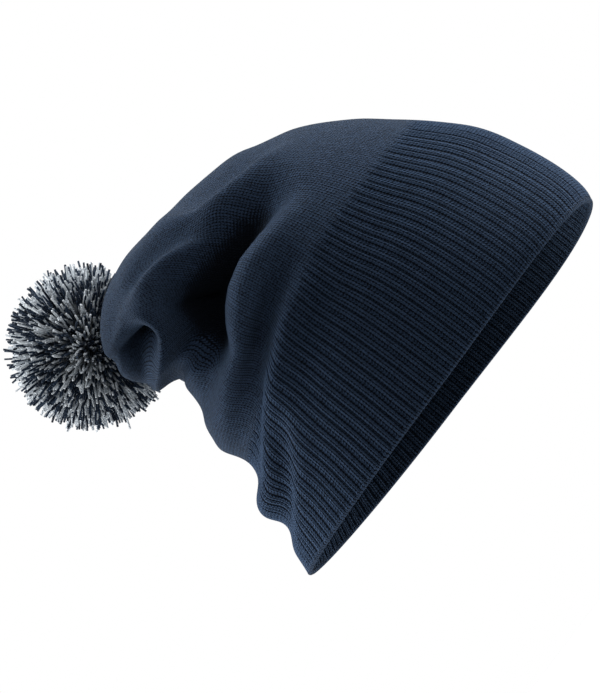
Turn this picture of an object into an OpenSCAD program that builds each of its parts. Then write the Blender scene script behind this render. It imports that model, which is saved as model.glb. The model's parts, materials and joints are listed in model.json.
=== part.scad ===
// Slouchy double-layer knit beanie with a two-tone pompom.
// Millimetres. +Z runs out of the crown, -Y is the forehead, +Y is the nape.
// The origin is the centre of the head opening, in the plane of the hem.

/* [Head opening] */
// Length of the head opening, forehead to nape
opening_l = 206; // [196:2:216]
// Width of the head opening, side to side
opening_w = 156; // [148:2:164]
/* [Fabric] */
// Thickness of one knitted layer
layer_t = 2.2; // [1.8:0.1:2.6]
// Air between the outer layer and the lining
layer_gap = 0.5; // [0.4:0.1:0.8]
// Height of the turned hem
hem_h = 5; // [4:0.5:6]
/* [Pompom] */
// Diameter over the yarn ends
pompom_d = 74; // [66:1:76]
// Distance from the gathered crown to the middle of the pompom
pompom_lift = 20; // [19:0.5:21]
// Number of yarn tufts
tuft_count = 130; // [100:10:140]
// Diameter of the tie cord
cord_d = 2.2; // [1.8:0.1:2.4]
/* [Label] */
// Width of the care label
label_w = 16; // [12:1:20]
// Length of the care label
label_l = 22; // [16:1:24]

/* [Hidden] */

navy_outer = "#263447";
navy_inner = "#1b2432";
yarn_light = "#a3adb3";
label_white = "#e6e4de";

// Scales that carry the outlines below from the nominal opening to the chosen one.
nominal_l = 206;
nominal_w = 156;
ky = opening_l / nominal_l;
kx = opening_w / nominal_w;

// Each ring is [front y, front z, back y, back z, half width, bow].
// Front and back are where the ring meets the centre plane. Bow lifts its two sides
// along the pompom's axis, which makes the pocket that the pompom sits in.
BAND = [
    [-104.5, hem_h, 102, hem_h, 78.5, 0],
    [-108.5, 17, 100, 11, 80, 0],
    [-109, 34, 98, 18, 82, 0],
    [-105, 52, 97, 28, 83, 0],
    [-96, 72, 94, 37, 83, 0],
    [-82, 92, 88, 44, 83, 0]
];
CROWN = [
    [-82, 92, 88, 44, 83, 0],
    [-67, 111, 83, 51, 83, 0],
    [-47, 128, 81, 59, 82, 2],
    [-24, 140, 82, 67, 79, 5],
    [0, 147, 81, 75, 75, 8],
    [22, 151, 77, 83, 69, 13],
    [41, 152, 73, 91, 62, 18],
    [52, 150, 71, 99, 54, 20],
    [58, 144, 71, 106, 43, 15],
    [62, 135, 72, 113, 27, 7],
    [65, 129, 75, 121, 8, 0],
    [68.7, 126, 71.3, 124, 1.6, 0]
];

// The pompom's axis leans back out of the crown's gathered centre.
tip = [0, 70 * ky, 125];
lean = 37.2;
stem = [0, sin(lean), cos(lean)];

sectors = 48;
band_rings = 10;
crown_rings = 24;
seam_gap = 0.45;
inner_depth = layer_t + layer_gap;
two_layers = inner_depth + layer_t;

// Catmull-Rom value at u between b and c.
function spline(a, b, c, d, u) =
    b + 0.5 * u * ((c - a) + u * ((2 * a - 5 * b + 4 * c - d) + u * (3 * (b - c) + d - a)));
function ring(rows, t) =
    let (
        last = len(rows) - 1,
        i = min(floor(t), last - 1),
        before = rows[max(i - 1, 0)],
        after = rows[min(i + 2, last)]
    )
    spline(before, rows[i], rows[i + 1], after, t - i);

// A point on the outer face of the fabric at ring value t and angle q, 0 at the back.
function skin(rows, t, q) =
    let (
        r = ring(rows, t),
        front = [0, r[0] * ky, r[1]],
        back = [0, r[2] * ky, r[3]]
    )
    (front + back) / 2 + (back - front) / 2 * cos(q)
        + [r[4] * kx * sin(q), 0, 0] + stem * r[5] * pow(sin(q), 2);
function unit(v) = v / norm(v);
function outward(rows, t, q) =
    let (
        step = 0.02,
        last = len(rows) - 1,
        along = skin(rows, min(t + step, last), q) - skin(rows, max(t - step, 0), q),
        round = skin(rows, t, q + 1) - skin(rows, t, q - 1)
    )
    unit(cross(along, round));
function sunk(rows, t, q, depth) = skin(rows, t, q) - outward(rows, t, q) * depth;

// The same, with the lowest ring of the band laid flat on top of the hem.
function level(p) = [p[0], p[1], hem_h];
function cloth(rows, t, q, depth) =
    let (p = sunk(rows, t, q, depth))
    rows == BAND && t == 0 ? level(p) : p;

// Points of one face of a layer, ring after ring.
function face_points(rows, top, count, depth) = [
    for (i = [0:count], j = [0:sectors - 1])
        cloth(rows, top * i / count, j * 360 / sectors, depth)
];
function quad(a, b, c, d) = [[a, b, c], [a, c, d]];
function strip(first, second, flip) = [
    for (j = [0:sectors - 1])
        let (k = (j + 1) % sectors)
        each flip
            ? quad(first + j, first + k, second + k, second + j)
            : quad(first + j, second + j, second + k, first + k)
];

// A knitted layer, its outer face depth below the fabric's, from the first ring to top.
module layer(rows, top, count, depth) {
    inner = (count + 1) * sectors;
    faces = [
        for (i = [0:count - 1]) each strip(i * sectors, (i + 1) * sectors, true),
        for (i = [0:count - 1])
            each strip(inner + i * sectors, inner + (i + 1) * sectors, false),
        each strip(0, inner, false),
        each strip(count * sectors, inner + count * sectors, true)
    ];
    polyhedron(
        concat(
            face_points(rows, top, count, depth),
            face_points(rows, top, count, depth + layer_t)
        ),
        faces
    );
}

// The band stops short of the crown by about seam_gap; its rings are at least ring_step apart.
ring_step = 9;
band_top = len(BAND) - 1 - seam_gap / ring_step;
crown_top = len(CROWN) - 1;

module ribbed_band() {
    color(navy_outer) layer(BAND, band_top, band_rings, 0);
}
module band_lining() {
    color(navy_inner) layer(BAND, band_top, band_rings, inner_depth);
}

// An ellipse in the plane of the hem, as far in from the edge as inset says.
module hem_outline(inset) {
    polygon([
        for (j = [0:2 * sectors - 1])
            let (q = j * 180 / sectors)
            [(opening_w / 2 - inset) * cos(q), (opening_l / 2 - inset) * sin(q)]
    ]);
}
module hem_fold() {
    color(navy_outer) linear_extrude(hem_h) difference() {
        hem_outline(0);
        hem_outline(two_layers + 1);
    }
}

module crown_shell() {
    color(navy_outer) layer(CROWN, crown_top, crown_rings, 0);
}
module crown_lining() {
    color(navy_inner) layer(CROWN, crown_top, crown_rings, inner_depth);
}

// Puts children on the pompom's axis, height above the gathered crown.
module on_stem(height) {
    translate(tip + stem * height) rotate([-lean, 0, 0]) children();
}

// The threads that pull each layer's last stitches shut. The lining's is the tighter one.
thread_r = 0.6;
gather_r = 4.4;
lining_gather_r = 2.5;
thread_clear = 0.35;
lining_gather_drop = two_layers + 2 * thread_clear + thread_r;
module gather_thread(radius) {
    rotate_extrude($fn = 48) translate([radius, 0]) circle(thread_r, $fn = 16);
}
module crown_drawstring() {
    color(navy_inner) on_stem(thread_r + thread_clear) gather_thread(gather_r);
}
module lining_drawstring() {
    color(navy_inner) on_stem(-lining_gather_drop) gather_thread(lining_gather_r);
}

// The tie cord: knotted inside, through both layers, then free in two short lengths.
knot_r = 2.8;
knot_drop = lining_gather_drop + thread_r + knot_r;
cord_gap = 0.35;
cord_exit = 1;
cord_joint = 5;
core_r = 7.4;
cord_end = pompom_lift - core_r - cord_gap;
module cord_length(low, high) {
    on_stem(low) cylinder(h = high - low, d = cord_d, $fn = 24);
}
module tie_knot() {
    color(yarn_light) union() {
        on_stem(-knot_drop) sphere(knot_r, $fn = 32);
        cord_length(-knot_drop, cord_exit - cord_gap);
    }
}
module tie_cord_lower() {
    color(yarn_light) cord_length(cord_exit, cord_joint - cord_gap);
}
module tie_cord_upper() {
    color(yarn_light) cord_length(cord_joint, cord_end);
}

// The binding yarn cinches the strands at the neck, on the side of the core that the cord leaves.
binding_r = 0.9;
neck_polar = 130;
neck_reach = core_r + binding_r + cord_gap;
module core_binding() {
    color(navy_inner) on_stem(pompom_lift + neck_reach * cos(neck_polar))
        rotate_extrude($fn = 48)
            translate([neck_reach * sin(neck_polar), 0]) circle(binding_r, $fn = 16);
}

// Tufts fan out evenly from the packed middle of the strands. Those that would press
// into the crown are short, and none points straight down at it.
golden = 137.508;
side_limit = 84;
low_limit = 104;
tuft_root_r = 0.5;
tuft_tip_r = 2.9;
short_tuft = 0.54;
grey_share = 0.46;
colour_step = 0.731;
function tuft_polar(i) = acos(1 - (i + 0.5) / tuft_count * (1 - cos(low_limit)));
function is_grey(i) = (i * colour_step) % 1 < grey_share;
module tuft(i, root) {
    polar = tuft_polar(i);
    reach = pompom_d / 2 * (polar > side_limit ? short_tuft : 1);
    tip_r = tuft_tip_r * reach / (pompom_d / 2);
    rotate([0, polar, i * golden])
        translate([0, 0, root]) cylinder(h = reach - root, r1 = tuft_root_r, r2 = tip_r, $fn = 16);
}
module tufts(grey, root) {
    for (i = [0:tuft_count - 1])
        if (is_grey(i) == grey) tuft(i, root);
}
module navy_yarn() {
    color(navy_outer) on_stem(pompom_lift) union() {
        sphere(core_r, $fn = 48);
        tufts(false, core_r - 1);
    }
}
module grey_yarn() {
    color(yarn_light) on_stem(pompom_lift) tufts(true, core_r + cord_gap);
}

// The label hangs inside the nape from a bar of stitches on the lining.
label_t = 0.6;
label_top = 31;
label_y = 85.5 * ky;
bar_h = 1.6;
bar_reach = 5;
module care_label() {
    color(label_white)
        translate([-label_w / 2, label_y - label_t, label_top - label_l])
            cube([label_w, label_t, label_l]);
}
module label_stitches() {
    color(navy_inner)
        translate([-label_w / 2, label_y - label_t, label_top + 0.3])
            cube([label_w, bar_reach, bar_h]);
}

ribbed_band();
hem_fold();
band_lining();
label_stitches();
care_label();
crown_shell();
crown_lining();
crown_drawstring();
lining_drawstring();
tie_knot();
tie_cord_lower();
tie_cord_upper();
core_binding();
navy_yarn();
grey_yarn();
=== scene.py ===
"""A slouchy, double-layer knit beanie with a two-colour yarn pompom.

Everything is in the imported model's frame: +Z out of the crown, -Y the forehead, +Y the nape.
Outlines are written in millimetres and become metres through MM.
"""
import json
import math

import bpy
import numpy as np
from mathutils import Matrix, Vector
from mathutils.bvhtree import BVHTree


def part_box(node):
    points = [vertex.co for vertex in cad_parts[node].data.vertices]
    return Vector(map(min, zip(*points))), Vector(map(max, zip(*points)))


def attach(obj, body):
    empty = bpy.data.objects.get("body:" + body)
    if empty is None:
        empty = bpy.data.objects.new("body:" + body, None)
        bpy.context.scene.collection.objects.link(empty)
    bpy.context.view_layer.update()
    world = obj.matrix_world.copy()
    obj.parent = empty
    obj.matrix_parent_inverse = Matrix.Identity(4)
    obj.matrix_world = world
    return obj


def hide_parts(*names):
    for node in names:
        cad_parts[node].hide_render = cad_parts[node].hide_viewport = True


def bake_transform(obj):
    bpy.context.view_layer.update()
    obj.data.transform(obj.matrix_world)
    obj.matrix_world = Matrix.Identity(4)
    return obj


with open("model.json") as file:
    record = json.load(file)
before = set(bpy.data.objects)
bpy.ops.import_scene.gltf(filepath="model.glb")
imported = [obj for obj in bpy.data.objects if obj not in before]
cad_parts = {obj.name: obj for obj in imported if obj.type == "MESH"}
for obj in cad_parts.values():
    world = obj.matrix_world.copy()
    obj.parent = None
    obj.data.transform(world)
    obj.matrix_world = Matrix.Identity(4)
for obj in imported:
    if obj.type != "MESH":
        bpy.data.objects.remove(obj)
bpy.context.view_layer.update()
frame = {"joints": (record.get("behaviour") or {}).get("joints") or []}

MM = 0.001
rng = np.random.default_rng(11)

# ---------------------------------------------------------------------------
# Camera, lights and floor
# ---------------------------------------------------------------------------
VIEW_HEIGHT = 0.3119  # what the picture's height covers at the hat's middle
VIEW_CENTRE = Vector((0, 0.0264, 0.0668))
TIP_ANGLE = math.radians(52.8)  # the hat is tipped this far over in the picture
CAMERA_BELOW = math.radians(6.6)  # the camera looks up at the hat by this much
CAMERA_DISTANCE = 1.5
SENSOR = 36
FLOOR_Z = -0.15
FLOOR_SIZE = 40
FLOOR_COLOUR = (0.94, 0.94, 0.94, 1)
SURROUND = 3.65  # brightness of the white surroundings
SURROUND_TINT = (0.95, 0.975, 1, 1)
CAMERA_SIDE = 0.085  # what share of that brightness comes from behind the camera
FAR_SIDE = 0.2  # the same from straight behind the hat
UNDERSIDE = 0.4  # the same from below
FOREHEAD_SIDE = 0.95  # the same from above the forehead


def aim_camera():
    """The camera is at the hat's -X side, rolled so that the hat lies tipped over."""
    tilt = Matrix.Rotation(-CAMERA_BELOW, 3, "Y")
    right = tilt @ Vector((0, -math.cos(TIP_ANGLE), -math.sin(TIP_ANGLE)))
    up = tilt @ Vector((0, -math.sin(TIP_ANGLE), math.cos(TIP_ANGLE)))
    back = right.cross(up)
    data = bpy.data.cameras.new("camera")
    data.sensor_fit = "VERTICAL"
    data.sensor_height = SENSOR
    data.lens = SENSOR * CAMERA_DISTANCE / VIEW_HEIGHT
    data.clip_end = 100
    camera = bpy.data.objects.new("camera", data)
    place = Matrix((right, up, back)).transposed().to_4x4()
    place.translation = VIEW_CENTRE + back * CAMERA_DISTANCE
    camera.matrix_world = place
    bpy.context.scene.collection.objects.link(camera)
    bpy.context.scene.camera = camera


def add_sun(name, direction, strength, angle):
    """A soft, distant light that comes from direction."""
    data = bpy.data.lights.new(name, "SUN")
    data.energy = strength
    data.angle = math.radians(angle)
    lamp = bpy.data.objects.new(name, data)
    lamp.rotation_euler = Vector(direction).to_track_quat("Z", "Y").to_euler()
    bpy.context.scene.collection.objects.link(lamp)


def light_studio():
    """White surroundings, which leave the hat's near side in shade. The camera sees plain white."""
    add_sun("key", (0.15, -0.72, 0.62), strength=0.4, angle=40)
    add_sun("fill", (0, 0.9, 0.6), strength=0.55, angle=60)
    world = bpy.data.worlds.new("studio")
    bpy.context.scene.world = world
    world.use_nodes = True
    tree = world.node_tree
    tree.nodes.clear()

    def along(way):
        """How closely a ray follows way, from -1 to 1."""
        node = tree.nodes.new("ShaderNodeVectorMath")
        node.operation = "DOT_PRODUCT"
        node.inputs[1].default_value = way
        tree.links.new(direction, node.inputs[0])
        return node.outputs["Value"]

    def ramp(value, start, end, low, high):
        """Goes smoothly from low to high as value goes from start to end."""
        node = tree.nodes.new("ShaderNodeMapRange")
        node.interpolation_type = "SMOOTHSTEP"
        tree.links.new(value, node.inputs["Value"])
        limits = {"From Min": start, "From Max": end, "To Min": low, "To Max": high}
        for name, number in limits.items():
            node.inputs[name].default_value = number
        return node.outputs[0]

    def times(a, b):
        node = tree.nodes.new("ShaderNodeMath")
        node.operation = "MULTIPLY"
        tree.links.new(a, node.inputs[0])
        tree.links.new(b, node.inputs[1])
        return node.outputs[0]

    direction = tree.nodes.new("ShaderNodeTexCoord").outputs["Generated"]
    facing = along((-1, 0, 0))
    front = ramp(facing, 0, 0.5, 1, CAMERA_SIDE)
    rear = ramp(facing, -1, -0.2, FAR_SIDE, 1)
    above = ramp(along((0, -0.8, 0.6)), -1, 1, SURROUND, FOREHEAD_SIDE * SURROUND)
    seen = tree.nodes.new("ShaderNodeBackground")
    seen.inputs["Color"].default_value = (1, 1, 1, 1)
    ambient = tree.nodes.new("ShaderNodeBackground")
    ambient.inputs["Color"].default_value = SURROUND_TINT
    below = ramp(along((0, 0, -1)), 0.2, 0.9, 1, UNDERSIDE)
    level = times(times(front, rear), times(above, below))
    tree.links.new(level, ambient.inputs["Strength"])
    mix = tree.nodes.new("ShaderNodeMixShader")
    path = tree.nodes.new("ShaderNodeLightPath")
    out = tree.nodes.new("ShaderNodeOutputWorld")
    tree.links.new(path.outputs["Is Camera Ray"], mix.inputs[0])
    tree.links.new(ambient.outputs[0], mix.inputs[1])
    tree.links.new(seen.outputs[0], mix.inputs[2])
    tree.links.new(mix.outputs[0], out.inputs["Surface"])
    bpy.context.scene.view_settings.view_transform = "Standard"


def lay_floor():
    """A wide white floor below the hat. It takes shadows but throws no light back."""
    half = FLOOR_SIZE / 2
    corners = [(-half, -half, FLOOR_Z), (half, -half, FLOOR_Z),
               (half, half, FLOOR_Z), (-half, half, FLOOR_Z)]
    mesh = bpy.data.meshes.new("floor")
    mesh.from_pydata(corners, [], [(0, 1, 2, 3)])
    floor = bpy.data.objects.new("floor", mesh)
    bpy.context.scene.collection.objects.link(floor)
    paint = bpy.data.materials.new("floor")
    paint.use_nodes = True
    shader = paint.node_tree.nodes["Principled BSDF"]
    shader.inputs["Base Color"].default_value = FLOOR_COLOUR
    shader.inputs["Roughness"].default_value = 0.9
    shader.inputs["Specular IOR Level"].default_value = 0
    mesh.materials.append(paint)
    floor.visible_diffuse = False
    floor.visible_glossy = False


# ---------------------------------------------------------------------------
# Materials
# ---------------------------------------------------------------------------
# Each pair of colours is the dark and the light end of a cloth's or yarn's colour. On the knit the
# dark end also serves as painted shade: between the stitches, in the rib grooves and pleats, and at
# the bottom of deep folds.
OUTER_COLOURS = (0.0010, 0.0028, 0.0075, 1), (0.032, 0.057, 0.106, 1)
LINING_COLOURS = (0.0010, 0.0026, 0.0070, 1), (0.032, 0.056, 0.100, 1)
NAVY_YARN_COLOURS = (0.003, 0.007, 0.017, 1), (0.028, 0.050, 0.088, 1)
GREY_YARN_COLOURS = (0.58, 0.62, 0.66, 1), (0.90, 0.94, 0.97, 1)
TAPE_COLOURS = (0.5, 0.49, 0.46, 1), (0.82, 0.81, 0.77, 1)
KNIT_SHEEN = 0.05
KNIT_SHEEN_TINT = (0.5, 0.72, 1, 1)
YARN_SHEEN = 0.25
YARN_SHEEN_TINT = (0.9, 0.95, 1, 1)
TAPE_SHEEN = 0.1
YARN_SPECULAR = 0.12
SHEEN_ROUGHNESS = 0.45
LEG_SLANT = 1.3  # how many courses a loop's legs rise for each wale outwards
STITCH_CONTRAST = 2.6  # how much lighter the knit is on a stitch than between stitches, where the dark is painted shade
GRAIN_CONTRAST = 2.4
MOTTLE_CONTRAST = 0.4
LIGHTNESS = -0.48  # the knit's lightness between stitches, painted shade there, before it is kept within 0 and 1
GROOVE_SHADE = 0.72  # how much darker the mesh's groove and shade value of 1 makes the knit, as painted shade
# Noise in the cloth's and the yarn's colour and bump, in features for each metre.
KNIT_FUZZ = 1500
KNIT_GRAIN = 900
KNIT_MOTTLE = 150
YARN_FUZZ = 2600
TAPE_DUST = 900
STITCH_BUMP = 0.6 * MM
YARN_BUMP = 0.3 * MM
WEAVE_BUMP = 0.06 * MM
PLY_TWIST = 0.55  # turns of a yarn's plies in each millimetre


class Graph:
    """Short calls for building one material's node tree."""

    def __init__(self, name):
        self.material = bpy.data.materials.new(name)
        self.material.use_nodes = True
        self.tree = self.material.node_tree
        self.shader = self.tree.nodes["Principled BSDF"]

    def add(self, kind, **settings):
        node = self.tree.nodes.new(kind)
        for key, value in settings.items():
            setattr(node, key, value)
        return node

    def feed(self, socket, value):
        """Links value to socket if it is an output, and otherwise sets it."""
        if isinstance(value, bpy.types.NodeSocket):
            self.tree.links.new(value, socket)
        else:
            socket.default_value = value

    def math(self, operation, *values):
        node = self.add("ShaderNodeMath", operation=operation)
        for socket, value in zip(node.inputs, values):
            self.feed(socket, value)
        return node.outputs[0]

    def mix(self, factor, first, second):
        """A colour between first and second."""
        node = self.add("ShaderNodeMix", data_type="RGBA")
        self.feed(node.inputs[0], factor)
        self.feed(node.inputs[6], first)
        self.feed(node.inputs[7], second)
        return node.outputs[2]

    def noise(self, scale, detail):
        node = self.add("ShaderNodeTexNoise")
        self.feed(node.inputs["Scale"], scale)
        self.feed(node.inputs["Detail"], detail)
        place = self.add("ShaderNodeTexCoord").outputs["Object"]
        self.tree.links.new(place, node.inputs["Vector"])
        return node.outputs[0]

    def attribute(self, name):
        return self.add("ShaderNodeAttribute", attribute_name=name).outputs["Fac"]

    def uv(self):
        node = self.add("ShaderNodeSeparateXYZ")
        place = self.add("ShaderNodeTexCoord").outputs["UV"]
        self.tree.links.new(place, node.inputs[0])
        return node.outputs[0], node.outputs[1]

    def bump(self, height, distance, strength):
        node = self.add("ShaderNodeBump")
        node.inputs["Strength"].default_value = strength
        node.inputs["Distance"].default_value = distance
        self.tree.links.new(height, node.inputs["Height"])
        return node.outputs[0]

    def clamp(self, value):
        node = self.add("ShaderNodeClamp")
        self.feed(node.inputs[0], value)
        return node.outputs[0]

    def centred_noise(self, scale, detail):
        """Noise that runs to either side of 0."""
        return self.math("SUBTRACT", self.noise(scale, detail), 0.5)

    def wave(self, value):
        """A sine wave, once for each whole step of value."""
        return self.math("SINE", self.math("MULTIPLY", value, 2 * math.pi))

    def finish(self, colour, roughness, normal, sheen, sheen_tint=(1, 1, 1, 1)):
        """Sets up the shader. Every material here is matt yarn or tape."""
        inputs = self.shader.inputs
        self.feed(inputs["Base Color"], colour)
        self.feed(inputs["Roughness"], roughness)
        inputs["Specular IOR Level"].default_value = YARN_SPECULAR
        inputs["Sheen Weight"].default_value = sheen
        inputs["Sheen Roughness"].default_value = SHEEN_ROUGHNESS
        inputs["Sheen Tint"].default_value = sheen_tint
        self.feed(inputs["Normal"], normal)
        return self.material


def knit_material(name, colours):
    """Stocking stitch: rows of V-shaped loops. UV x counts wales and UV y counts courses."""
    g = Graph(name)
    u, v = g.uv()
    wale = g.math("SUBTRACT", g.math("FRACT", g.math("ADD", u, 0.5)), 0.5)
    off = g.math("ABSOLUTE", wale)
    column = g.math("COSINE", g.math("MULTIPLY", wale, math.pi))
    leg = g.wave(off)
    row = g.wave(g.math("MULTIPLY_ADD", off, -LEG_SLANT, v))
    loops = g.math("MULTIPLY", leg, g.math("MULTIPLY_ADD", row, 0.5, 0.5))
    stitch = g.math("MULTIPLY_ADD", column, 0.5, g.math("MULTIPLY", loops, 0.6))
    fuzz = g.noise(KNIT_FUZZ, 4)
    height = g.math("MULTIPLY_ADD", fuzz, 0.4, stitch)
    grain = g.centred_noise(KNIT_GRAIN, 3)
    mottle = g.centred_noise(KNIT_MOTTLE, 3)
    # How light the colour is: high on the stitches, and low with painted shade between them, in the
    # grooves and pleats and at the bottom of deep folds. Random grain and mottle vary it too.
    lit = g.math("MULTIPLY_ADD", stitch, STITCH_CONTRAST, LIGHTNESS)
    lit = g.math("MULTIPLY_ADD", grain, GRAIN_CONTRAST, lit)
    lit = g.math("MULTIPLY_ADD", mottle, MOTTLE_CONTRAST, lit)
    lit = g.math("SUBTRACT", lit, g.math("MULTIPLY", g.attribute("groove_and_painted_shade"), GROOVE_SHADE))
    colour = g.mix(g.clamp(lit), *colours)
    rough = g.math("MULTIPLY_ADD", fuzz, 0.15, 0.78)
    normal = g.bump(height, STITCH_BUMP, 1)
    return g.finish(colour, rough, normal, KNIT_SHEEN, KNIT_SHEEN_TINT)


def yarn_material(name, colours):
    """Plied yarn: each strand has its own shade, and its plies wind round it."""
    g = Graph(name)
    u, v = g.uv()
    ply = g.wave(g.math("MULTIPLY_ADD", v, PLY_TWIST, g.math("MULTIPLY", u, 2)))
    fuzz = g.noise(YARN_FUZZ, 3)
    height = g.math("MULTIPLY_ADD", fuzz, 0.7, g.math("MULTIPLY", ply, 0.5))
    shade = g.math("MULTIPLY_ADD", g.math("SUBTRACT", fuzz, 0.5), 0.5, g.attribute("shade"))
    colour = g.mix(g.clamp(shade), *colours)
    rough = g.math("MULTIPLY_ADD", fuzz, 0.2, 0.7)
    normal = g.bump(height, YARN_BUMP, 0.8)
    return g.finish(colour, rough, normal, YARN_SHEEN, YARN_SHEEN_TINT)


def tape_material(name, colours):
    """Woven satin tape: fine crossing threads. UV x counts warp threads and UV y weft threads."""
    g = Graph(name)
    u, v = g.uv()
    weave = g.math("MULTIPLY", g.wave(v), g.wave(u))
    dust = g.noise(TAPE_DUST, 3)
    colour = g.mix(g.math("MULTIPLY_ADD", weave, 0.15, dust), *colours)
    rough = g.math("MULTIPLY_ADD", dust, 0.2, 0.4)
    return g.finish(colour, rough, g.bump(weave, WEAVE_BUMP, 0.7), TAPE_SHEEN)


def place_mesh(name, mesh, material):
    """Puts a finished, smooth-shaded mesh into the scene."""
    mesh.materials.append(material)
    mesh.shade_smooth()
    piece = bpy.data.objects.new(name, mesh)
    bpy.context.scene.collection.objects.link(piece)
    return piece


def hand_over(piece, node, body):
    """Hides the CAD node that a piece stands for, and hangs the piece on the body that carries it.
    """
    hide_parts(node)
    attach(piece, body)


# ---------------------------------------------------------------------------
# The knit's smooth surface
# ---------------------------------------------------------------------------
# Each ring of the outer fabric: front y, front z, back y, back z, half width, the y of its
# sides, how far they hang below the middle, and how far the -X and the +X side bow out towards
# the pompom.
RINGS = np.array([
    (-104.6, 1.6, 105.4, 1.4, 78, 0.5, 0.7, 0, 0),
    (-106.4, 5.2, 104, 4.6, 79, 0.5, 0.6, 0, 0),
    (-107.6, 13.4, 101.5, 11, 80, 0.5, 0.5, 0, 0),
    (-107.6, 23.2, 99.2, 18.4, 81, 0.5, 0.2, 0, 0),
    (-106.6, 34, 98, 26, 82, 0.7, 0, 0, 0),
    (-105, 44, 96.5, 33, 82.5, 1, 0, 0, 0),
    (-103, 54, 94, 39, 83, 1.5, 0, 0, 0),
    (-99.5, 64, 91, 44.5, 83, 2.3, 0, 0, 0),
    (-94, 74, 88.5, 49.5, 83, 3.4, 0, 0, 0),
    (-87.5, 84.5, 86.5, 54.5, 83, 5, 0, 0, 0),
    (-79.5, 96, 85, 59.5, 83, 7.5, 0, 0, 0),
    (-70, 108, 84.5, 64, 83.5, 11, 0, 0, 0),
    (-58, 121, 83.8, 68.5, 83.5, 15.5, 0, 0, 0),
    (-44.5, 131.5, 82.2, 74, 83, 20.5, 0, 1, 1),
    (-29, 138.9, 79.3, 79.5, 81, 26, 0, 3, 2),
    (-12, 143, 75.5, 84.5, 79, 32, 0, 5, 4),
    (5, 146.6, 72.5, 88.5, 76, 38.5, 0, 8, 6),
    (20, 149, 71, 92.5, 72, 45, 0, 11, 8),
    (34, 151.4, 70, 96, 66, 51.5, 0, 15, 11),
    (46, 151.3, 69.5, 100, 59, 57.5, 0, 18.5, 13),
    (54, 148.2, 69, 104, 50, 61.5, 0, 19, 13),
    (58.5, 142, 68.5, 108, 40, 64, 0, 15.5, 10),
    (62, 137, 69, 112.5, 28, 65.5, 0, 9, 6),
    (64.5, 131.5, 71, 117.5, 15, 68, 0, 3, 2),
    (66.5, 127.8, 73, 122.2, 6, 69.8, 0, 0, 0),
    (69, 125.8, 71, 124.2, 1.6, 70, 0, 0, 0),
])
LAST_RING = len(RINGS) - 1
BOW_WAY = np.array((0, 1, 0.07))  # which way the sides bow out
FRONT_SQUARE = 0.75  # how much squarer than an ellipse the opening is at the forehead
FRONT_LEAN = 1.4 * MM  # tilts the edge there, so that it is lower on the +X side
FRONT_RINGS = 9  # both fade out over this many rings
TIP = np.array((0, 70, 125)) * MM  # the middle of the gather
LEAN = math.radians(37.2)  # how far the pompom's axis leans back
STEM = np.array((0, math.sin(LEAN), math.cos(LEAN)))
RIB_PAIRS = 66
RIB_TOP = 8.95  # the ring value where the ribs end, at the front and the back
RIB_TOP_RISE = 0.65  # how many rings further they reach at the sides
RIB_TOP_WAVER = 0.08  # how unevenly they end, in rings
RIB_TOP_WAVES = 97
RIB_TOP_BLEND = 0.6  # over how many rings they become plain knit
WALES = 6  # wales in a pair of ribs
# Where a pair of ribs is sampled, how deep it is there, and which wale that is. Each rib is two
# wales. A narrow groove parts one pair from the next, and a wide one with a low rise in it parts
# the pair's two ribs.
SECTION = [
    (0, 1, 0), (0.113, 0, 1), (0.195, 0.28, 1.5), (0.278, 0, 2), (0.41, 0.85, 2.6),
    (0.5, 0.5, 3), (0.59, 0.85, 3.4), (0.71, 0, 4), (0.795, 0.28, 4.5), (0.885, 0, 5),
]
COURSE = 1.5 * MM  # height of one row of stitches
PLAIN_SPREAD = 0.26  # how far the bag's columns crowd together at the front
FABRIC_SAMPLES = 900  # how finely lengths from hem to gather are measured
FABRIC_LINES = 24  # and along how many lines
ROUND_SAMPLES = 2881  # how finely lengths round the fabric are measured
LAYERS = 4.9 * MM  # outer face to lining face
HEM_SHARE = 0.5  # how thick the turned edge is, as a share of LAYERS

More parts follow.
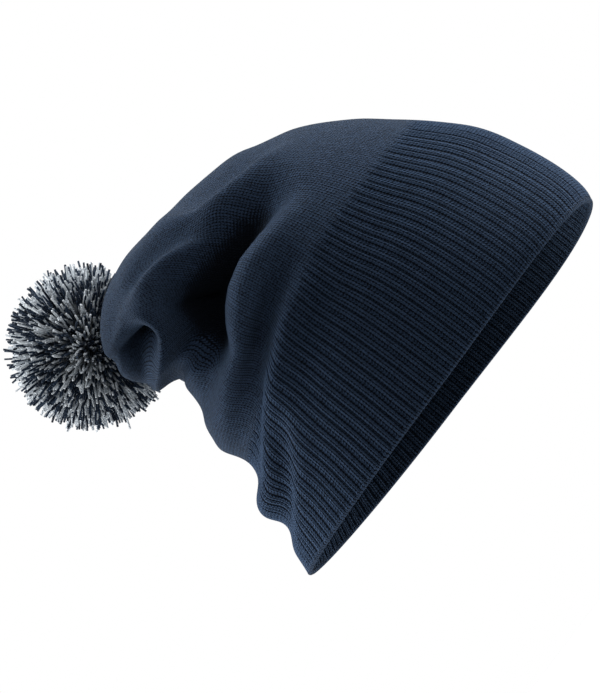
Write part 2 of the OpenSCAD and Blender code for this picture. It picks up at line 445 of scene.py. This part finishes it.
# Folds, as (y, z, depth, width towards the hem, width towards the gather) along each valley,
# seen from the side. A negative depth is a ridge.
NEAR_FOLDS = [
    [(-34, 106, 0, 9, 13), (-18, 111, 12, 9, 13), (-3, 113, 22, 9, 13), (14, 113, 31, 9, 13),
     (30, 109.5, 36, 10, 13), (40, 104, 37, 10, 12), (47, 97, 34, 9, 11), (53, 89, 24, 8, 9),
     (60, 84, 7, 5, 6), (72, 80, 3, 5, 5)],
    [(50, 96, 0, 5, 5), (58, 97, 6, 4.5, 4.5), (66, 98, 7, 4, 4), (76, 99, 6, 4, 4)],
    [(-8, 87, 0, 7, 7), (6, 82.5, 4, 6, 6), (22, 78, 7.5, 5, 5), (36, 72, 9.5, 5, 5),
     (50, 66.5, 9.5, 5, 5), (64, 60.5, 8, 5.5, 6), (86.5, 49.5, 5.5, 9, 9)],
    [(-4, 76, 0, 8, 8), (10, 72, -2.5, 8, 7), (26, 67, -3, 8, 7), (42, 60, -3, 8, 7),
     (56, 53, -2.5, 8, 7), (68, 48, 0, 8, 7)],
    [(48, 62, 0, 8, 8), (62, 46, 4, 6, 6), (74, 35, 5, 5, 5), (86, 27, 5.5, 5, 5),
     (97, 23.5, 4.5, 7.5, 6)],
    [(-46, 124, 0, 4, 5), (-32, 130, 5, 3.5, 6), (-19, 131.5, 7, 3.5, 6), (-6, 133.5, 7, 3.5, 6),
     (7, 137, 5, 3.5, 6), (18, 143, 0, 4, 5)],
    [(0, 126, 0, 4, 4), (10, 129.7, 4, 4, 4), (21, 132, 6, 3.5, 4.5), (34, 133, 6, 3.5, 4.5),
     (46, 133, 5, 3.5, 4), (58, 133, 0, 4, 4)],
    [(-40, 113, 0, 6, 6), (-24, 123, -2, 5, 5), (-6, 127, -3, 5, 5), (14, 126, -3, 5, 5),
     (34, 127.5, -3, 5, 5), (54, 127, 0, 5, 5)],
    [(67.5, 115, 27, 6.5, 6.5), (70.5, 116, 20, 6.5, 6), (78, 121, 4, 3, 3), (84, 124, 1.5, 3, 3)],
    [(60, 99, 0, 6, 6), (70, 104, -6, 7, 11), (80, 110, -6, 7, 12), (90, 114, -4, 7, 12)],
]
FAR_FOLDS = [
    [(-30, 112, 0, 9, 9), (-4, 110, 6, 9, 9), (20, 106, 10, 9, 9), (40, 101, 11, 9, 9),
     (56, 95, 7, 8, 8), (72, 88, 3, 7, 7)],
    [(-20, 88, 0, 8, 8), (10, 82, 5, 8, 8), (34, 73, 7, 8, 8), (58, 63, 7, 7, 7),
     (86.5, 49.5, 5.5, 9, 9)],
    [(40, 60, 0, 8, 8), (62, 43, 4, 7, 7), (80, 31, 5, 6, 6), (97, 23.5, 4.5, 7.5, 6)],
    [(-10, 132, 0, 7, 7), (20, 134, 4, 7, 7), (44, 130, 4, 7, 7)],
    [(-70, 92, 0, 10, 10), (-40, 104, 2, 10, 10), (-8, 116, 0, 10, 10)],
]
SIDE_BLEND = 14 * MM  # how far either side of the centre plane the two sets of folds mix
FOLD_SHARPNESS = 2.6  # 2 would make a fold's section a bell curve
FOLD_RIM = 0.1  # height of the soft rim beside a fold, as a share of its depth
FOLD_SOFTENING = 6
DEEP_FROM = 9 * MM  # a fold deeper than this gets painted shade, darker the deeper it is
DEEP_RANGE = 15 * MM  # and is darkest when deeper by this much more
# Slow waves of worn cloth: how many go round the hat, and how quickly each runs from ring to ring.
LUMPS = [(2, 0.9), (3, 1.7), (5, 1.1), (7, 2.3), (11, 1.9)]
LUMP_HEIGHT = 0.55 * MM


def smooth_step(x):
    """0 up to x = 0, 1 from x = 1, and a smooth rise between."""
    x = np.clip(x, 0, 1)
    return x * x * (3 - 2 * x)


def spline(rows, t):
    """Catmull-Rom values of rows at the array t."""
    last = len(rows) - 1
    i = np.clip(np.floor(t).astype(int), 0, last - 1)
    a, b = rows[np.maximum(i - 1, 0)], rows[i]
    c, d = rows[i + 1], rows[np.minimum(i + 2, last)]
    u = (t - i)[..., None]
    return b + 0.5 * u * ((c - a) + u * ((2 * a - 5 * b + 4 * c - d) + u * (3 * (b - c) + d - a)))


def skin(t, q):
    """Points of the smooth outer face, at ring values t and angles q, 0 at the back."""
    columns = np.moveaxis(spline(RINGS, t) * MM, -1, 0)
    front_y, front_z, back_y, back_z, half_width, side_y, hang, bow_near, bow_far = columns
    middle_y, reach_y = (front_y + back_y) / 2, (back_y - front_y) / 2
    middle_z, reach_z = (front_z + back_z) / 2, (back_z - front_z) / 2
    across = np.sin(q)
    front = np.maximum(0, -np.cos(q)) * smooth_step(1 - t / FRONT_RINGS)
    along = np.cos(q) + (side_y - middle_y) / reach_y * across ** 2
    bow = np.where(across < 0, bow_near, bow_far) * across ** 2
    x = half_width * across * (1 + FRONT_SQUARE * front ** 2)
    y = middle_y + reach_y * along + BOW_WAY[1] * bow
    z = middle_z + reach_z * along - hang * across ** 2 + BOW_WAY[2] * bow
    return np.stack([x, y, z - FRONT_LEAN * front * across], -1)


def column_angles(t):
    """The angle of each column at ring values t: in ribs at first, then evenly spaced wales."""
    fine = np.linspace(0, 2 * np.pi, ROUND_SAMPLES)
    mid_rib = np.full_like(fine, 5)
    step = np.linalg.norm(np.diff(skin(mid_rib, fine), axis=0), axis=1)
    length = np.concatenate([[0], np.cumsum(step)])

    def angles(places):
        """Where these places in each pair of ribs are, measured along the cloth."""
        share = np.add.outer(np.arange(RIB_PAIRS), places).ravel() / RIB_PAIRS
        return np.interp(share * length[-1], length, fine)

    ribbed = angles([place for place, _, _ in SECTION])
    plain = angles([wale / WALES for _, _, wale in SECTION])
    t = t[:, None]
    fade = rib_fade(t, plain)
    q = ribbed * fade + plain * (1 - fade)
    # The bag's columns shift gradually from ring 7.5 on, and back again before the gather.
    slouch = smooth_step((t - 7.5) / 9) * smooth_step((24.5 - t) / 8)
    return q + PLAIN_SPREAD * slouch * np.sin(q)


def rib_fade(t, q):
    """1 in the ribs and 0 in the plain knit. They meet higher up on the hat's sides."""
    top = RIB_TOP + RIB_TOP_RISE * np.sin(q) ** 4 + RIB_TOP_WAVER * np.sin(RIB_TOP_WAVES * q)
    return smooth_step((top - t) / RIB_TOP_BLEND + 0.5)


def ring_values(count):
    """Ring values spaced evenly along the fabric, from hem to gather."""
    fine = np.linspace(0, LAST_RING, FABRIC_SAMPLES)
    angles = np.linspace(0, 2 * np.pi, FABRIC_LINES, endpoint=False)
    grid = skin(fine[:, None] + 0 * angles, angles + 0 * fine[:, None])
    step = np.linalg.norm(np.diff(grid, axis=0), axis=2).mean(axis=1)
    length = np.concatenate([[0], np.cumsum(step)])
    return np.interp(np.linspace(0, length[-1], count), length, fine)


def normals(grid):
    """Outward unit normals of a grid of points, rows from hem to gather, columns round."""
    along = np.gradient(grid, axis=0)
    round_ = np.roll(grid, -1, axis=1) - np.roll(grid, 1, axis=1)
    n = np.cross(along, round_)
    length = np.linalg.norm(n, axis=2, keepdims=True)
    return n / np.maximum(length, 1e-12)


def fold_depth(y, z, fold):
    """How deep one fold is at each point of the side view, from the nearest part of its line."""
    rows = np.array(fold, float) * MM
    nearest = np.full(y.shape, np.inf)
    depth, width = np.zeros(y.shape), np.full(y.shape, 1.0)
    for a, b in zip(rows[:-1], rows[1:]):
        way = b[:2] - a[:2]
        from_y, from_z = y - a[0], z - a[1]
        u = np.clip((from_y * way[0] + from_z * way[1]) / (way @ way), 0, 1)
        away = np.hypot(from_y - u * way[0], from_z - u * way[1])
        towards_gather = way[0] * from_z - way[1] * from_y > 0
        hem_width, gather_width = a[3] + u * (b[3] - a[3]), a[4] + u * (b[4] - a[4])
        nearer = away < nearest
        nearest = np.where(nearer, away, nearest)
        depth = np.where(nearer, a[2] + u * (b[2] - a[2]), depth)
        width = np.where(nearer, np.where(towards_gather, gather_width, hem_width), width)
    x = nearest / width
    rim = FOLD_RIM * np.exp(-((x - 1.9) / 0.8) ** 2)
    return depth * (np.exp(-x ** FOLD_SHARPNESS) - rim)


def soften(grid, times):
    """Relaxes the grid between its neighbours, leaving the two end rows where they are."""
    grid = grid.copy()
    for _ in range(times):
        mean = (grid[:-2] + grid[2:] + np.roll(grid, 1, 1)[1:-1] + np.roll(grid, -1, 1)[1:-1]) / 4
        grid[1:-1] += 0.5 * (mean - grid[1:-1])
    return grid


def lumps(t, q):
    """Slow unevenness of worn cloth, the same every run."""
    total = 0
    for k, (around, along) in enumerate(LUMPS):
        wave = np.sin(around * q + along * t + 1.7 * k) * np.cos(along * t - 2.1 * k)
        total = total + wave / (1 + k)
    return total * LUMP_HEIGHT


def draped(t, q):
    """The smooth surface with its folds, and how far down in a deep fold each point is, 0 to 1,
    which sets the painted shade there.
    """
    grid = skin(t, q)
    x, y, z = np.moveaxis(grid, -1, 0)
    near = smooth_step(0.5 - x / (2 * SIDE_BLEND))
    depth = sum(fold_depth(y, z, fold) for fold in NEAR_FOLDS) * near
    depth += sum(fold_depth(y, z, fold) for fold in FAR_FOLDS) * (1 - near)
    # The folds fade out at the hem and at the gather. The lumps are in the bag only.
    ends = smooth_step((LAST_RING - 1.5 - t) / 2.5) * smooth_step(t / 2.5)
    loose = lumps(t, q) * smooth_step((t - 8) / 4)
    grid = grid - normals(grid) * ((depth - loose) * ends)[..., None]
    return soften(grid, FOLD_SOFTENING), smooth_step((depth - DEEP_FROM) / DEEP_RANGE)


def column_uv(grid):
    """UV x counts wales. UV y counts courses along each column."""
    place = [pair * WALES + wale for pair in range(RIB_PAIRS) for _, _, wale in SECTION]
    step = np.linalg.norm(np.diff(grid, axis=0), axis=2)
    run = np.concatenate([np.zeros((1, grid.shape[1])), np.cumsum(step, axis=0)])
    return np.stack([np.broadcast_to(place, run.shape), run / COURSE], -1)


def grid_mesh(name, grid, material, groove_and_painted_shade, flip):
    """A tube of quads, rows by columns, closed round the columns. flip turns its faces over."""
    rows, columns = grid.shape[:2]
    i = np.arange((rows - 1) * columns)
    r, c = i // columns, i % columns
    d = (c + 1) % columns
    corners = [r * columns + c, r * columns + d, (r + 1) * columns + d, (r + 1) * columns + c]
    if flip:
        corners.reverse()
    faces = np.stack(corners, 1)
    mesh = bpy.data.meshes.new(name)
    mesh.from_pydata(grid.reshape(-1, 3).tolist(), [], faces.tolist())
    # The last column's faces reach round to the first, so they take the next lap's U.
    corner_uv = column_uv(grid).reshape(-1, 2)[faces]
    next_lap = (faces % columns == 0) & (c[:, None] == columns - 1)
    corner_uv[..., 0] += RIB_PAIRS * WALES * next_lap
    layer = mesh.uv_layers.new(name="knit")
    layer.data.foreach_set("uv", corner_uv.astype(np.float32).ravel())
    # Painted shade that darkens the knit's colour in the rib grooves, the pleats and deep folds.
    attribute = mesh.attributes.new("groove_and_painted_shade", "FLOAT", "POINT")
    attribute.data.foreach_set("value", groove_and_painted_shade.ravel().astype(np.float32))
    return place_mesh(name, mesh, material)


RIB_DEPTH = 1.2 * MM
PLEAT_DEPTH = 1.3 * MM  # the gather's pleats
GATHERS = 18  # how many pleats there are
PLAIN_SHADE = 0.4  # how much darker plain knit is made, where the deepest rib groove's painted shade is 1 the same for the gather's pleats, as painted shade in their hollows painted shade at the bottom of the deepest folds, on the same scale
PLEAT_SHADE = 0.7  # the same for the gather's pleats
DEEP_SHADE = 3.2  # the same for the bottom of the deepest folds
OUTER_ROWS = 140
LINING_ROWS = 90
LINING_SOFTENING = 4
HEM_STEPS = 9  # rows of points round the turned edge


def knit_layer(name, material, count, inset, rib_depth, softening, flip):
    """One knitted layer, hem to gather, with its grid of points and how deep its grooves are.

    inset is how far its face lies inside the outer one. A negative rib_depth presses the grooves
    outwards, for the layer that is seen from inside.
    """
    rows = ring_values(count)
    q = column_angles(rows)
    t = np.broadcast_to(rows[:, None], q.shape)
    grid, deep = draped(t, q)
    grid = soften(grid, softening)
    n = normals(grid)
    # The lowest row moves level, so that the turned edge meets it all round.
    n[0, :, 2] = 0
    n[0] /= np.linalg.norm(n[0], axis=1, keepdims=True)
    section = np.tile([depth for _, depth, _ in SECTION], RIB_PAIRS)
    ribs = rib_fade(t, q) * smooth_step((t + 0.2) / 0.9)
    groove_and_painted_shade = section * ribs
    # The pleats run over the last four rings, and fade out at the gather's middle.
    pleat = (0.5 - 0.5 * np.cos(GATHERS * q)) * smooth_step((t - LAST_RING + 4) / 3)
    pleat *= smooth_step((LAST_RING - t) / 1.2)
    pressed = HEM_SHARE + (1 - HEM_SHARE) * smooth_step(t / 2)
    depth = inset * pressed + groove_and_painted_shade * rib_depth + pleat * PLEAT_DEPTH
    grid = grid - n * depth[..., None]
    # Painted shade for the knit's colour in the rib grooves, the pleats and the bottom of deep
    # folds, plus a darker tone on the plain knit.
    shade = groove_and_painted_shade + PLAIN_SHADE * (1 - ribs) + PLEAT_SHADE * pleat + DEEP_SHADE * deep
    return grid_mesh(name, grid, material, shade, flip), grid, groove_and_painted_shade


def hem_roll(name, material, outer, inner, groove_and_painted_shade):
    """The turned edge: half a turn from the outer layer's lowest row to the lining's."""
    middle = (outer + inner) / 2
    arm = outer - middle
    reach = np.linalg.norm(arm, axis=1).mean()
    drop = np.array((0, 0, -1)) * reach
    turns = np.linspace(0, math.pi, HEM_STEPS)
    grid = np.stack([middle + arm * math.cos(a) + drop * math.sin(a) for a in turns])
    # The edge keeps the ribs' painted groove shade from the outer layer's lowest row.
    return grid_mesh(name, grid, material, np.repeat(groove_and_painted_shade[None], HEM_STEPS, 0), True)


def build_knit():
    """The outer layer, the lining and the turned edge between them. Returns the outer layer."""
    navy = knit_material("outer_knit", OUTER_COLOURS)
    dull = knit_material("inner_knit", LINING_COLOURS)
    outer, outer_grid, groove_and_painted_shade = knit_layer("outer_knit", navy, OUTER_ROWS, 0, RIB_DEPTH, 0, True)
    lining, inner_grid, _ = knit_layer(
        "lining_knit", dull, LINING_ROWS, LAYERS, -RIB_DEPTH, LINING_SOFTENING, False)
    for piece, nodes, slot in (
        (outer, ("ribbed_band", "crown_shell"), "knit_navy"),
        (lining, ("band_lining", "crown_lining"), "lining_navy"),
    ):
        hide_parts(*nodes)
        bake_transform(piece)
    hem = hem_roll("hem_roll", navy, outer_grid[0], inner_grid[0], groove_and_painted_shade[0])
    hand_over(hem, "hem_fold", "band")
    return outer


# ---------------------------------------------------------------------------
# Tubes: strands, threads and cords
# ---------------------------------------------------------------------------
def frames_along(path):
    """Two unit vectors across each point of a batch of paths, (strand, point, xyz)."""
    way = np.gradient(path, axis=1)
    way /= np.linalg.norm(way, axis=2, keepdims=True)
    aside = np.where(np.abs(way[..., :1]) < 0.8, (1.0, 0, 0), (0, 1.0, 0))
    first = np.cross(way, aside)
    first /= np.linalg.norm(first, axis=2, keepdims=True)
    return first, np.cross(way, first)


def tubes(name, path, radius, material, sides, tone=0.5):
    """One mesh of many tubes. path is (strand, point, xyz), and radius fits (strand, point)."""
    strands, points = path.shape[:2]
    radius = np.broadcast_to(radius, (strands, points))
    first, second = frames_along(path)
    turn = np.arange(sides) * 2 * math.pi / sides
    ring = first[:, :, None] * np.cos(turn)[:, None] + second[:, :, None] * np.sin(turn)[:, None]
    rings = path[:, :, None] + ring * radius[..., None, None]
    each = points * sides
    offset = (np.arange(strands) * each)[:, None, None]
    p, side = np.meshgrid(np.arange(points - 1), np.arange(sides), indexing="ij")
    after = (side + 1) % sides
    corners = [p * sides + side, p * sides + after, (p + 1) * sides + after, (p + 1) * sides + side]
    quads = (np.stack(corners, -1).reshape(1, -1, 4) + offset).reshape(-1, 4)
    starts = np.arange(sides)[::-1][None] + offset[:, :, 0]
    ends = each - sides + np.arange(sides)[None] + offset[:, :, 0]
    faces = quads.tolist() + starts.tolist() + ends.tolist()
    mesh = bpy.data.meshes.new(name)
    mesh.from_pydata(rings.reshape(-1, 3).tolist(), [], faces)
    # UV x goes once round each tube, and UV y is the way along it in millimetres.
    steps = np.linalg.norm(np.diff(path, axis=1), axis=2)
    run = np.concatenate([np.zeros((strands, 1)), np.cumsum(steps, axis=1)], 1)
    v = np.repeat(run[..., None], sides, 2).ravel() / MM
    u = np.broadcast_to(np.arange(sides) / sides, (strands, points, sides)).ravel()
    corner = np.empty(len(mesh.loops), int)
    mesh.loops.foreach_get("vertex_index", corner)
    uv = np.stack([u[corner], v[corner]], 1)
    # Where a face reaches round to the first side, its two far corners end the turn.
    closing = np.zeros(len(corner), bool)
    last_side = np.tile((after == 0).ravel(), strands)
    closing[:quads.size].reshape(-1, 4)[last_side, 1:3] = True
    uv[closing, 0] = 1
    mesh.uv_layers.new(name="yarn").data.foreach_set("uv", uv.astype(np.float32).ravel())
    attribute = mesh.attributes.new("shade", "FLOAT", "POINT")
    tones = np.repeat(np.broadcast_to(tone, strands), each)
    attribute.data.foreach_set("value", tones.astype(np.float32))
    return place_mesh(name, mesh, material)


# ---------------------------------------------------------------------------
# Pompom
# ---------------------------------------------------------------------------
POM_R = 37 * MM
POM_LIFT = 23 * MM  # from the gathered tip to the pompom's middle
POM_CENTRE = TIP + STEM * POM_LIFT
CORE_R = 9 * MM  # where the strands start
YARN_R = 0.6 * MM
YARN_SIDES = 5
YARN_TAPER = np.array((0.8, 0.9, 1, 1, 0.8))  # a strand's thickness at each of its points
YARN_SPREAD = 0.15  # how much thicker or thinner a strand can be
TONE_SPREAD = 0.22
STRANDS = 4800
STRAND_BEND = 5 * MM  # how far a strand's end strays sideways, about
CLUMPS = 330
CLUMP_SPREAD = 0.03  # how unevenly the clumps lie
CLUMPING = 0.45  # how far each strand leans over to its clump
UNRULINESS = 0.13  # how far each strand points away from there
TRIM = 0.93  # mean length of the strands, as a share of POM_R
STRAND_TRIM_SPREAD = 0.06  # how much it differs between strands
CLUMP_TRIM_SPREAD = 0.03  # and between clumps
SAG = 0.05  # how much longer those underneath are
GREY_SHARE = 0.5
GREY_CLUMPING = 0.55  # how much that share differs between clumps
CLOTH_CLEAR = 2.6 * MM  # how far a strand's end stays from the cloth
SIDE_CLEAR = 1.5 * MM  # the same for its middle line beside the cloth
GATHER_CLEAR = 4 * MM  # the same over the gather's open middle
GATHER_CONE = 0.93  # cosine of the angle off the stem up to which strands point at the gather
SHORTEST = 12 * MM  # a strand with less room than this is left out
LONGEST = 38 * MM
PROBE = 1.2 * POM_R  # how far out the cloth is looked for
PROBE_POINTS = 10


def sphere_points(count):
    """Unit vectors spread evenly over a sphere."""
    i = np.arange(count) + 0.5
    z = 1 - 2 * i / count
    turn = i * math.pi * (3 - math.sqrt(5))
    flat = np.sqrt(1 - z * z)
    return np.stack([flat * np.cos(turn), flat * np.sin(turn), z], 1)


def pose_turns():
    """The pompom's rigid moves with its joints at their limits, one by one and all together."""
    moves = [Matrix.Identity(4)]
    together = [Matrix.Identity(4), Matrix.Identity(4)]
    for joint in frame["joints"]:
        if not joint["name"].startswith("pompom_"):
            continue
        pivot = Vector(joint["pos_m"])
        for end, degrees in enumerate(joint["range_deg"]):
            turn = Matrix.Rotation(math.radians(degrees), 4, Vector(joint["axis"]))
            move = Matrix.Translation(pivot) @ turn @ Matrix.Translation(-pivot)
            moves.append(move)
            together[end] = together[end] @ move
    return moves + together


def strand_paths(directions, bends, reach, points):
    """Gently bent paths from the core outwards. A strand that is cut shorter keeps its bend."""
    length = CORE_R + (reach - CORE_R)[:, None] * np.linspace(0, 1, points)
    sway = (((length - CORE_R) / (POM_R - CORE_R)) ** 2)[..., None] * bends[:, None]
    return POM_CENTRE + length[..., None] * directions[:, None] + sway


def free_lengths(directions, bends, cloth):
    """How long each strand can be without meeting the cloth at rest or at the joints' limits."""
    vertices = [vertex.co for vertex in cloth.data.vertices]
    faces = [polygon.vertices for polygon in cloth.data.polygons]
    tree = BVHTree.FromPolygons(vertices, faces)
    over_gather = directions @ STEM < -GATHER_CONE
    free = np.where(over_gather, POM_LIFT - GATHER_CLEAR, PROBE)
    paths = strand_paths(directions, bends, np.full(len(directions), PROBE), PROBE_POINTS)
    paths[:, 0] = POM_CENTRE
    steps = np.linalg.norm(np.diff(paths, axis=1), axis=2)
    runs = np.concatenate([np.zeros((len(paths), 1)), np.cumsum(steps, axis=1)], 1)
    for move in pose_turns():
        turned = paths @ np.array(move.to_3x3()).T + np.array(move.translation)
        for i, path in enumerate(turned):
            for k, step in enumerate(steps[i]):
                if runs[i, k] > free[i]:
                    break
                hit = tree.ray_cast(Vector(path[k]), Vector(path[k + 1] - path[k]), step)
                beside = tree.find_nearest(Vector(path[k + 1]), SIDE_CLEAR)
                if hit[0] is not None:
                    free[i] = min(free[i], runs[i, k] + hit[3] - CLOTH_CLEAR)
                    break
                if beside[0] is not None:
                    free[i] = min(free[i], runs[i, k] + step - CLOTH_CLEAR)
                    break
    return free


def unit(vectors):
    """The rows of vectors, each scaled to a length of 1."""
    return vectors / np.linalg.norm(vectors, axis=1, keepdims=True)


def build_pompom(cloth, navy, pale):
    """Strands in loose clumps, trimmed to a rough ball and cut short where the cloth is near."""
    base = sphere_points(STRANDS)
    clumps = unit(sphere_points(CLUMPS) + rng.normal(0, CLUMP_SPREAD, (CLUMPS, 3)))
    owner = np.argmax(base @ clumps.T, axis=1)
    leaning = base + CLUMPING * (clumps[owner] - base)
    directions = unit(leaning + rng.normal(0, UNRULINESS, base.shape))
    aside = unit(np.cross(directions, rng.normal(size=base.shape)))
    bends = aside * rng.normal(0, STRAND_BEND, (STRANDS, 1))
    free = free_lengths(directions, bends, cloth)
    uneven = rng.normal(0, STRAND_TRIM_SPREAD, STRANDS)
    clump_uneven = rng.normal(0, CLUMP_TRIM_SPREAD, CLUMPS)
    trim = POM_R * (TRIM + uneven + clump_uneven[owner])
    trim *= 1 + SAG * smooth_step(-directions[:, 2] - 0.2)
    reach = np.minimum(free, np.minimum(trim, LONGEST))
    clump_grey = GREY_CLUMPING * (rng.random(CLUMPS) - 0.5)
    grey = rng.random(STRANDS) < GREY_SHARE + clump_grey[owner]
    tone = np.clip(rng.normal(0.5, TONE_SPREAD, STRANDS), 0, 1)
    kept = reach > SHORTEST
    for name, which, material, slot, node in (
        ("pompom_navy_strands", ~grey, navy, "yarn_navy", "navy_yarn"),
        ("pompom_grey_strands", grey, pale, "yarn_grey", "grey_yarn"),
    ):
        chosen = kept & which
        path = strand_paths(directions[chosen], bends[chosen], reach[chosen], len(YARN_TAPER))
        size = YARN_R * rng.uniform(1 - YARN_SPREAD, 1 + YARN_SPREAD, chosen.sum())
        piece = tubes(name, path, size[:, None] * YARN_TAPER, material, YARN_SIDES, tone[chosen])
        hand_over(piece, node, "pompom")


# ---------------------------------------------------------------------------
# Threads, cord and label
# ---------------------------------------------------------------------------
ACROSS = np.array((1.0, 0, 0))
OVER = np.cross(STEM, ACROSS)
THREAD_SIDES = 6
PLY_SIDES = 7
KNOT_SIDES = 8
DRAWSTRING_R = 0.5 * MM
BINDING_R = 0.42 * MM
BINDING_TURNS = 5
BINDING_REACH = 6.5 * MM  # from the stem to the binding's middle line
BINDING_DROP = 5.6 * MM  # from the pompom's middle down to its lowest turn
BINDING_RISE = 1.6 * MM  # from there to its highest turn
CORD_PLIES = 3
PLY_R = 0.58 * MM
PLY_REACH = 0.5 * MM  # from the cord's middle to a ply's middle
PLY_WIND = 1.6  # how far the plies wind, in radians for each millimetre
KNOT_SIZE = 0.85 * MM
KNOT_DROP = 9.8 * MM  # from the gather down to the knot's middle
KNOT_OPEN = 0.35  # where the knot's two ends stop short of each other, in radians
LABEL_FACE = 0.12 * MM  # how far the label's faces lie inside its CAD solid's
LABEL_CURL = 0.5 * MM  # how far its middle bows away from the lining at the bottom
LABEL_LEAN = 0.35 * MM  # how far its whole bottom edge leans back to the lining
LABEL_THREADS = (36, 54)  # threads across it and down it
LABEL_POINTS = (17, 25)  # points across it and down it
STITCHES = 14
STITCH_R = 0.24 * MM
STITCH_INSET = 0.4 * MM  # from the ends of the stitches' CAD solid


def on_stem(x, y, h):
    """Points given across the stem and along it, from the gather's middle, in metres."""
    sideways = np.multiply.outer(x, ACROSS) + np.multiply.outer(y, OVER)
    return TIP + sideways + np.multiply.outer(h, STEM)


def one_tube(name, points, radius, material, sides):
    """A single tube along a list of points."""
    return tubes(name, np.asarray(points)[None], radius, material, sides)


def add_drawstrings(navy):
    """The two threads that pull each layer's last stitches shut."""
    turn = np.linspace(0, 2 * math.pi, 97)
    for node, radius in (("crown_drawstring", 4.4 * MM), ("lining_drawstring", 2.5 * MM)):
        low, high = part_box(node)
        middle = (np.array(low) + np.array(high)) / 2
        height = (middle - TIP) @ STEM + 0.25 * MM * np.sin(9 * turn)
        ring = on_stem(radius * np.cos(turn), radius * np.sin(turn), height)
        thread = one_tube(node + "_thread", ring, DRAWSTRING_R, navy, THREAD_SIDES)
        hand_over(thread, node, "crown")


def add_binding(navy):
    """Turns of yarn round the strands' neck, on the side that the cord leaves."""
    coil = np.linspace(0, 2 * BINDING_TURNS * math.pi, 241)
    height = POM_LIFT - BINDING_DROP + coil / coil[-1] * BINDING_RISE
    size = BINDING_REACH + 0.35 * MM * np.sin(coil * 0.9)
    wound = on_stem(size * np.cos(coil), size * np.sin(coil), height)
    binding = one_tube("neck_binding", wound, BINDING_R, navy, PLY_SIDES)
    hand_over(binding, "core_binding", "pompom")


def add_tie_cord(pale):
    """The free length of the tie cord, in plied yarn. It changes body where it bends."""
    for node, body, low, high in (
        ("tie_cord_lower", "tie_lower", 1, 4.65), ("tie_cord_upper", "tie_upper", 5, 14.2),
    ):
        height = np.linspace(low, high, 24) * MM
        plies = []
        for ply in range(CORD_PLIES):
            turn = height / MM * PLY_WIND + ply * 2 * math.pi / CORD_PLIES
            plies.append(on_stem(PLY_REACH * np.cos(turn), PLY_REACH * np.sin(turn), height))
        cord = tubes(node + "_plies", np.stack(plies), PLY_R, pale, PLY_SIDES)
        hand_over(cord, node, body)


def add_knot(pale):
    """A trefoil knot of the same yarn under the lining, and the yarn that rises from it."""
    turn = np.linspace(KNOT_OPEN, 2 * math.pi - KNOT_OPEN, 70)
    loops = on_stem(
        (np.sin(turn) + 2 * np.sin(2 * turn)) * KNOT_SIZE,
        (np.cos(turn) - 2 * np.cos(2 * turn)) * KNOT_SIZE,
        -KNOT_DROP - np.sin(3 * turn) * 1.2 * MM,
    )
    rise = on_stem(np.zeros(9), np.zeros(9), np.linspace(-7.6, 0.6, 9) * MM)
    knot = one_tube("tie_knot_yarn", np.concatenate([loops, rise]), KNOT_SIZE, pale, KNOT_SIDES)
    hand_over(knot, "tie_knot", "crown")


def add_label():
    """A blank woven label: two faces of woven tape and its edge, curling a little as it hangs."""
    low, high = (np.array(p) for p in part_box("care_label"))
    across, down = LABEL_POINTS
    u, v = np.meshgrid(np.linspace(0, 1, across), np.linspace(0, 1, down), indexing="ij")
    x = low[0] + (high[0] - low[0]) * u
    z = high[2] - (high[2] - low[2]) * v
    curl = LABEL_CURL * np.sin(math.pi * u) * v - LABEL_LEAN * v ** 2
    faces_y = (low[1] + LABEL_FACE, high[1] - LABEL_FACE)
    vertices = [np.stack([x, y - curl, z], -1).reshape(-1, 3) for y in faces_y]
    uvs = np.stack([u * LABEL_THREADS[0], v * LABEL_THREADS[1]], -1).reshape(-1, 2)

    def at(side, i, j):
        """The number of the point i across and j down. Side 0 is the face towards the head."""
        return side * across * down + i * down + j

    faces = []
    for i in range(across - 1):
        for j in range(down - 1):
            faces.append([at(0, i, j), at(0, i, j + 1), at(0, i + 1, j + 1), at(0, i + 1, j)])
            faces.append([at(1, i, j), at(1, i + 1, j), at(1, i + 1, j + 1), at(1, i, j + 1)])
    rim = [(i, 0) for i in range(across)]
    rim += [(across - 1, j) for j in range(1, down)]
    rim += [(i, down - 1) for i in range(across - 2, -1, -1)]
    rim += [(0, j) for j in range(down - 2, 0, -1)]
    for a, b in zip(rim, rim[1:] + rim[:1]):
        faces.append([at(0, *a), at(0, *b), at(1, *b), at(1, *a)])
    mesh = bpy.data.meshes.new("label_tape")
    mesh.from_pydata(np.concatenate(vertices).tolist(), [], faces)
    layer = mesh.uv_layers.new(name="tape")
    for loop in mesh.loops:
        layer.data[loop.index].uv = uvs[loop.vertex_index % len(uvs)]
    label = place_mesh("label_tape", mesh, tape_material("label_tape", TAPE_COLOURS))
    hand_over(label, "care_label", "label")


def add_label_stitches(navy):
    """A close zigzag of thread over the label's sewn edge, into the lining."""
    low, high = (np.array(p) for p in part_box("label_stitches"))
    s = np.linspace(0, 1, STITCHES * 6 + 1)
    zigzag = np.abs((s * STITCHES) % 1 * 2 - 1)
    points = np.stack([
        low[0] + (high[0] - low[0]) * s,
        low[1] + STITCH_INSET + (high[1] - low[1] - 2 * STITCH_INSET) * zigzag,
        (low[2] + high[2]) / 2 + 0.5 * MM * np.sin(s * STITCHES * 2 * math.pi),
    ], 1)
    bar = one_tube("label_bar_thread", points, STITCH_R, navy, THREAD_SIDES)
    hand_over(bar, "label_stitches", "band")


aim_camera()
light_studio()
lay_floor()
cloth = build_knit()
navy = yarn_material("navy_yarn", NAVY_YARN_COLOURS)
pale = yarn_material("grey_yarn", GREY_YARN_COLOURS)
build_pompom(cloth, navy, pale)
add_drawstrings(navy)
add_binding(navy)
add_tie_cord(pale)
add_knot(pale)
add_label()
add_label_stitches(navy)
